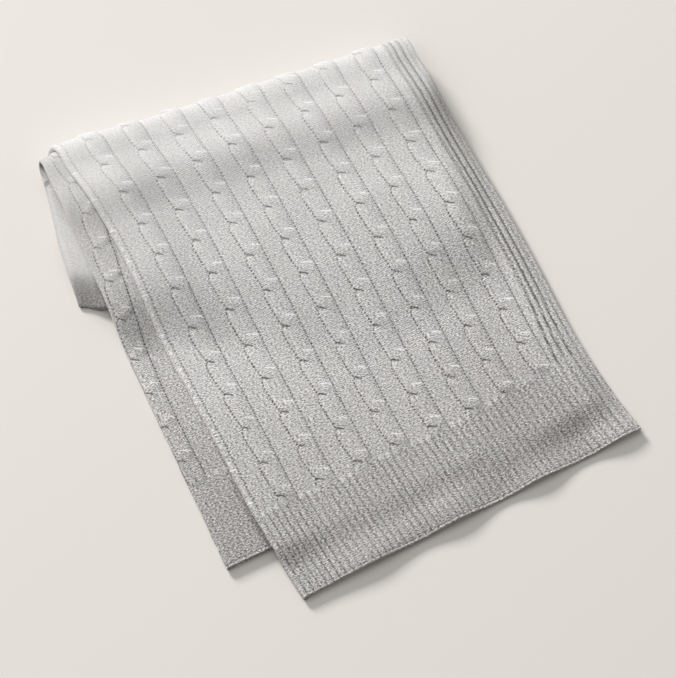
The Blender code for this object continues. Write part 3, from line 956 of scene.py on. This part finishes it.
def build_cloth():
    lines, left_last, low_first, low_last = plain_lines()
    rows = make_rows(PLAIN_ROWS, BACK_ROWS)
    outer = np.array([line.points(rows, OUTER_FACE) for line in lines])
    inner = np.array([line.points(rows, INNER_FACE) for line in lines])
    run = np.linalg.norm(np.diff(outer[:, SPACING_ROW], axis=0), axis=1)
    place = np.concatenate([[0], np.cumsum(run)])[:, None]
    plain_uv = np.stack(np.broadcast_arrays(place, along_run(outer)), axis=-1)
    kinds, shares = rows[0][None, :], rows[1][None, :]
    index = np.arange(len(lines))[:, None]
    under = kinds == TURNED_UNDER
    # Painted shade in the hollow inside the bend, a little over the whole part turned under,
    # and most at that part's end
    hollow = (kinds == IN_BEND) * fade_past(shares, HOLLOW_FADES)
    corner = under * ease((shares - CORNER_FROM) / (1 - CORNER_FROM))
    shade = (index > low_last - 3) * HOLLOW_SHADE * hollow + UNDER_SHADE * under
    shade = shade + (index > left_last) * CORNER_SHADE * corner

    cloth = Cloth()
    outer_ids = cloth.add(uneven(outer), plain_uv, shade=shade)
    inner_ids = cloth.add(uneven(inner), plain_uv, shade=shade)
    fine = make_rows(TOP_ROWS)
    points, uv, facts = top_face(fine)
    top_ids = cloth.add(points, uv, **facts)
    points, uv, facts = low_face(fine)
    low_ids = cloth.add(points, uv, **facts)
    past = sum(PLAIN_ROWS[:TURNED_UNDER]) + 1
    keep = np.ones((len(lines) - 1, len(rows[0]) - 1), bool)
    keep[: left_last + 1, :past] = False
    keep[low_first - 1 : low_last + 1, :past] = False
    cloth.grid(outer_ids, keep)
    for ids in (inner_ids, top_ids, low_ids):
        cloth.grid(ids)

    # Joins of the fine faces with the plain ones
    join = np.append
    cloth.zip_runs(top_ids[:, -1], outer_ids[: left_last + 1, past])
    side_run = join(top_ids[-1], outer_ids[left_last, past])
    cloth.zip_runs(side_run, outer_ids[left_last + 1, : past + 1])
    cloth.zip_runs(low_ids[:, -1], outer_ids[low_first : low_last + 1, past])
    side_run = join(low_ids[0], outer_ids[low_first, past])
    cloth.zip_runs(side_run, outer_ids[low_first - 1, : past + 1])
    side_run = join(low_ids[-1], outer_ids[low_last, past])
    cloth.zip_runs(side_run, outer_ids[low_last + 1, : past + 1])

    # Rims
    cloth.zip_runs(join(top_ids[0], outer_ids[0, past]), inner_ids[0, : past + 1])
    cloth.zip_runs(outer_ids[0, past:], inner_ids[0, past:])
    first, last = left_last + 1, low_first - 1
    cloth.zip_runs(join(top_ids[:, 0], outer_ids[first, 0]), inner_ids[: first + 1, 0])
    cloth.zip_runs(outer_ids[first : last + 1, 0], inner_ids[first : last + 1, 0])
    near = join(join(outer_ids[last, 0], low_ids[:, 0]), outer_ids[low_last + 1, 0])
    cloth.zip_runs(near, inner_ids[last : low_last + 2, 0])
    cloth.zip_runs(outer_ids[low_last + 1 :, 0], inner_ids[low_last + 1 :, 0])
    cloth.zip_runs(outer_ids[-1], inner_ids[-1])
    cloth.zip_runs(outer_ids[:, -1], inner_ids[:, -1])
    return cloth


def make_throw():
    cloth = build_cloth()
    points = np.concatenate(cloth.points)
    uv = np.concatenate(cloth.uv)
    faces = np.concatenate(cloth.faces)
    used = np.unique(faces)
    index = np.full(len(points), -1)
    index[used] = np.arange(len(used))
    faces = index[faces]
    points, uv = points[used], uv[used]
    points[:, 0] += CORNER[0]
    points[:, 1] += CORNER[1]
    points[:, 2] = np.maximum(points[:, 2], 0.0)
    mesh = bpy.data.meshes.new("cable_knit_throw")
    mesh.from_pydata(points.tolist(), [], faces.tolist())
    layer = mesh.uv_layers.new(name="knit")
    loops = np.empty(len(mesh.loops), np.int32)
    mesh.loops.foreach_get("vertex_index", loops)
    for name in FACTS:
        values = np.concatenate(cloth.facts[name])[used]
        fact = mesh.attributes.new(name, "FLOAT", "POINT")
        fact.data.foreach_set("value", values.astype(np.float32))
    layer.data.foreach_set("uv", uv[loops].astype(np.float32).ravel())
    shaped = bmesh.new()
    shaped.from_mesh(mesh)
    bmesh.ops.recalc_face_normals(shaped, faces=shaped.faces[:])
    open_edges = sum(not e.is_manifold for e in shaped.edges)
    print("throw:", len(faces), "triangles,", open_edges, "open edges")
    shaped.to_mesh(mesh)
    shaped.free()
    mesh.shade_smooth()
    throw = bpy.data.objects.new("cable_knit_throw", mesh)
    bpy.context.scene.collection.objects.link(throw)
    return throw


# Material
class Maths:
    """Shader arithmetic: each call adds a node and gives its output."""

    def __init__(self, tree):
        self.nodes, self.links = tree.nodes, tree.links

    def node(self, kind, *values):
        made = self.nodes.new("ShaderNodeMath")
        made.operation = kind
        for socket, value in zip(made.inputs, values):
            self.put(value, socket)
        return made.outputs[0]

    def put(self, value, socket):
        if isinstance(value, (int, float)):
            socket.default_value = value
        else:
            self.links.new(value, socket)

    def add(self, a, b):
        return self.node("ADD", a, b)

    def sub(self, a, b):
        return self.node("SUBTRACT", a, b)

    def mul(self, a, b):
        return self.node("MULTIPLY", a, b)

    def most(self, a, b):
        return self.node("MAXIMUM", a, b)

    def size(self, a):
        return self.node("ABSOLUTE", a)

    def wrap(self, a):
        """Distance from the nearest whole number, from -0.5 to 0.5."""
        return self.sub(a, self.node("ROUND", a))

    def bell(self, a, wide):
        r = self.mul(a, 1.0 / wide)
        return self.node("EXPONENT", self.mul(self.mul(r, r), -1.0))

    def line_at(self, a, place, wide):
        return self.bell(self.sub(a, place), wide)

    def ease(self, a, low, high, start=0.0, end=1.0):
        made = self.nodes.new("ShaderNodeMapRange")
        made.interpolation_type = "SMOOTHSTEP"
        for socket, value in zip(made.inputs, (a, low, high, start, end)):
            self.put(value, socket)
        return made.outputs[0]

    def wave(self, a, turns):
        """A cosine from -1 to 1 that repeats as the value grows by one step."""
        return self.node("COSINE", self.mul(a, 2 * math.pi / turns))


def attribute(tree, name):
    made = tree.nodes.new("ShaderNodeAttribute")
    made.attribute_name = name
    return made.outputs["Fac"]


def stroke(m, side, along, ends, wide):
    """A short line between two points beside a crossing, fading at its ends."""
    (x0, y0), (x1, y1) = ends
    long = math.hypot(x1 - x0, y1 - y0)
    dx, dy = (x1 - x0) / long, (y1 - y0) / long
    x, y = m.sub(side, (x0 + x1) / 2), m.sub(along, (y0 + y1) / 2)
    run = m.add(m.mul(x, dx), m.mul(y, dy))
    beside = m.sub(m.mul(y, dx), m.mul(x, dy))
    within = m.ease(m.size(run), 0.32 * long, 0.56 * long, 1.0, 0.0)
    return m.mul(m.bell(beside, wide), within)


def knit_lines(m, tree, a, y):
    """(painted shade in the gutters and grooves, painted shadow of the dashes, painted
    highlight of the arcs).
    """
    cabled = attribute(tree, "cabled")
    turns = m.mul(m.sub(a, CABLE_FIRST), 1 / CABLE_PITCH)
    side = m.mul(m.wrap(turns), -CABLE_PITCH)
    u = m.wrap(attribute(tree, "phase"))
    past = m.node("FRACT", m.mul(u, -1.0))
    swept = m.mul(m.ease(past, 0.0, SWEEP_BACK, 0.0, SWEEP_OUT), SWEEP_IN)
    swept = m.sub(swept, m.mul(m.mul(past, past), SWEEP_CURVE * SWEEP_IN))
    left = m.add(m.add(side, CABLE_HALF), swept)
    dots = m.ease(m.wave(y, DOT_STEP), -0.9, 0.7, DOTS_LEAST, 1.0)
    # Painted shade along the cables' gutters, in beads
    lines = m.add(m.bell(left, LINE_WIDE), m.line_at(side, CABLE_HALF, LINE_WIDE))
    gutter = m.mul(m.mul(lines, dots), cabled)
    # The dash's painted shadow and the arc's painted highlight beside each crossing
    along = m.mul(u, CROSS_STEP)
    dash = m.mul(stroke(m, side, along, DASH, DASH_WIDE), cabled)
    arc_highlight = m.mul(stroke(m, side, along, ARC, ARC_WIDE), cabled)
    # Painted shade in the rib grooves
    groove = m.mul(attribute(tree, "groove"), GROOVE_SHADE)
    # The painted shade, shadow and highlight of these lines fade towards the far end
    sharp = m.ease(y, 0.60, 0.30, FAR_LINES, 1.0)
    return m.mul(m.most(gutter, groove), sharp), m.mul(dash, sharp), m.mul(arc_highlight, sharp)


def hem_stitches(m, tree, a, y):
    """(light of the hem ribs' stitches and painted highlight on the hem's rim, painted shade
    in the crease beside it).
    """
    ribs = m.mul(m.wrap(m.mul(a, 1 / HEM_RIB_PITCH)), HEM_RIB_PITCH)
    dots = m.ease(m.wave(y, DOT_STEP), -0.2, 0.9)
    light = m.mul(m.mul(m.line_at(ribs, *HEM_STITCH_LINE), dots), attribute(tree, "hem"))
    edge = attribute(tree, "edge")
    # Painted highlight along the hem's rim, beaded like its stitches
    beads = m.add(m.mul(m.wave(a, DOT_STEP), 0.4), 0.6)
    rim = m.mul(m.line_at(edge, *HEM_RIM_LINE), beads)
    light = m.add(m.mul(light, HEM_STITCH_LIGHT), m.mul(rim, HEM_RIM_HIGHLIGHT))
    return light, m.line_at(edge, *HEM_CREASE_LINE)


def stitches(m, a, y):
    """Height of the plain knit: columns of leaning loops."""
    wale = m.wrap(m.mul(a, 1 / WALE))
    lean = m.mul(m.size(wale), LOOP_LEAN)
    course = m.node("FRACT", m.add(m.mul(y, 1 / COURSE), lean))
    loop = m.sub(1.0, m.mul(m.size(m.sub(course, 0.5)), LOOP_ROUND))
    steep = m.node("POWER", m.mul(m.size(wale), 2.0), 3.0)
    column = m.sub(1.0, m.mul(steep, COLUMN_DEEP))
    return m.mul(loop, column)


def knit_material():
    material = bpy.data.materials.new("heather_knit")
    material.use_nodes = True
    tree = material.node_tree
    nodes, links = tree.nodes, tree.links
    m = Maths(tree)
    shader = nodes["Principled BSDF"]
    shader.inputs["Roughness"].default_value = 0.95
    shader.inputs["Sheen Weight"].default_value = SHEEN
    shader.inputs["Sheen Roughness"].default_value = 0.5
    shader.inputs["Specular IOR Level"].default_value = 0.1
    where = nodes.new("ShaderNodeUVMap")
    where.uv_map = "knit"
    split = nodes.new("ShaderNodeSeparateXYZ")
    links.new(where.outputs["UV"], split.inputs[0])
    a, y = split.outputs["X"], split.outputs["Y"]

    def noise(scale, stretch=(1.0, 1.0, 1.0)):
        mapping = nodes.new("ShaderNodeMapping")
        mapping.inputs["Scale"].default_value = stretch
        links.new(where.outputs["UV"], mapping.inputs["Vector"])
        texture = nodes.new("ShaderNodeTexNoise")
        texture.inputs["Scale"].default_value = scale
        texture.inputs["Detail"].default_value = NOISE_DETAIL
        texture.inputs["Roughness"].default_value = NOISE_ROUGH
        links.new(mapping.outputs["Vector"], texture.inputs["Vector"])
        return texture.outputs["Fac"]

    gutter, dash, arc_highlight = knit_lines(m, tree, a, y)
    hem_light, hem_crease_shade = hem_stitches(m, tree, a, y)
    loops = stitches(m, a, y)
    grain = noise(GRAIN_SCALE, GRAIN_STRETCH)
    blotch = noise(BLOTCH_SCALE)

    # Heathered yarn: how light it is, from grain, stitch gaps and the knit's lines, with
    # painted shade in the gutters, grooves and the hem's crease, painted shadows of the
    # dashes, painted highlights of the arcs and the hem's rim, and the painted shade of each
    # point's shade fact
    crisp = m.most(m.ease(y, *CRISP_NEAR), m.ease(y, *CRISP_UNDER))
    tone = m.mul(m.mul(m.sub(grain, 0.5), HEATHER_SPREAD), crisp)
    tone = m.add(tone, m.mul(m.sub(blotch, 0.5), BLOTCH_SPREAD))
    tone = m.add(tone, m.mul(m.mul(m.sub(loops, LOOP_MIDDLE), LOOP_SPREAD), crisp))
    tone = m.sub(tone, m.mul(gutter, GUTTER_SHADE))
    tone = m.sub(tone, m.mul(dash, DASH_SHADOW))
    tone = m.add(tone, m.mul(arc_highlight, ARC_HIGHLIGHT))
    hem = attribute(tree, "hem")
    turn = m.mul(m.mul(hem, m.sub(1.0, hem)), 4 * TURN_LIGHT)
    tone = m.add(tone, m.mul(turn, m.ease(m.wave(a, 2.3 * DOT_STEP), -0.9, 0.6)))
    tone = m.sub(m.add(tone, hem_light), m.mul(hem_crease_shade, HEM_CREASE_SHADE))
    # Painted shade from each point's shade fact
    tone = m.add(m.sub(tone, attribute(tree, "shade")), YARN_TONE)
    ramp = nodes.new("ShaderNodeValToRGB")
    stops = ramp.color_ramp.elements
    stops[0].position, stops[0].color = 0.0, YARN_DARK
    stops[1].position, stops[1].color = 1.0, YARN_LIGHT
    links.new(tone, ramp.inputs["Fac"])
    links.new(ramp.outputs["Color"], shader.inputs["Base Color"])

    height = m.add(m.mul(loops, LOOP_BUMP), m.mul(grain, GRAIN_BUMP))
    height = m.sub(height, m.mul(gutter, GUTTER_BUMP))
    height = m.sub(height, m.mul(dash, DASH_BUMP))
    bump = nodes.new("ShaderNodeBump")
    bump.inputs["Strength"].default_value = 1.0
    bump.inputs["Distance"].default_value = 1.0
    links.new(height, bump.inputs["Height"])
    links.new(bump.outputs["Normal"], shader.inputs["Normal"])
    return material


# Surroundings
def make_floor():
    mesh = bpy.data.meshes.new("floor")
    half = FLOOR_HALF
    mesh.from_pydata(
        [(-half, -half, 0), (half, -half, 0), (half, half, 0), (-half, half, 0)],
        [],
        [(0, 1, 2, 3)],
    )
    floor = bpy.data.objects.new("floor", mesh)
    floor.location.z = -FLOOR_BELOW
    bpy.context.scene.collection.objects.link(floor)
    material = bpy.data.materials.new("pale_surface")
    material.use_nodes = True
    shader = material.node_tree.nodes["Principled BSDF"]
    shader.inputs["Base Color"].default_value = FLOOR_COLOUR
    shader.inputs["Roughness"].default_value = 0.9
    shader.inputs["Specular IOR Level"].default_value = 0.1
    mesh.materials.append(material)


def aim(obj, at, back, distance):
    obj.location = Vector(at) + Vector(back).normalized() * distance
    obj.rotation_euler = Vector(back).to_track_quat("Z", "Y").to_euler()


def make_lights():
    for name, back, size, power in LIGHTS:
        data = bpy.data.lights.new(name, "AREA")
        data.size = size
        data.energy = power
        light = bpy.data.objects.new(name, data)
        bpy.context.scene.collection.objects.link(light)
        aim(light, (0, 0, 0), back, LIGHT_FAR)
    world = bpy.data.worlds.new("studio")
    bpy.context.scene.world = world
    world.use_nodes = True
    sky = world.node_tree.nodes["Background"]
    sky.inputs["Color"].default_value = SKY_COLOUR
    sky.inputs["Strength"].default_value = SKY_STRENGTH


def make_camera():
    """The photograph's camera: almost no perspective, so it stands far off."""
    data = bpy.data.cameras.new("camera")
    data.sensor_width = 36.0
    data.lens = data.sensor_width * CAMERA_FAR / PICTURE_WIDE
    data.clip_end = 2 * CAMERA_FAR
    camera = bpy.data.objects.new("camera", data)
    bpy.context.scene.collection.objects.link(camera)
    aim(camera, CAMERA_AIM, CAMERA_BACK, CAMERA_FAR)
    bpy.context.scene.camera = camera


bpy.context.scene.view_settings.view_transform = "Standard"
throw = make_throw()
throw.data.materials.append(knit_material())
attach(throw, "root")
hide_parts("throw")
make_floor()
make_lights()
make_camera()
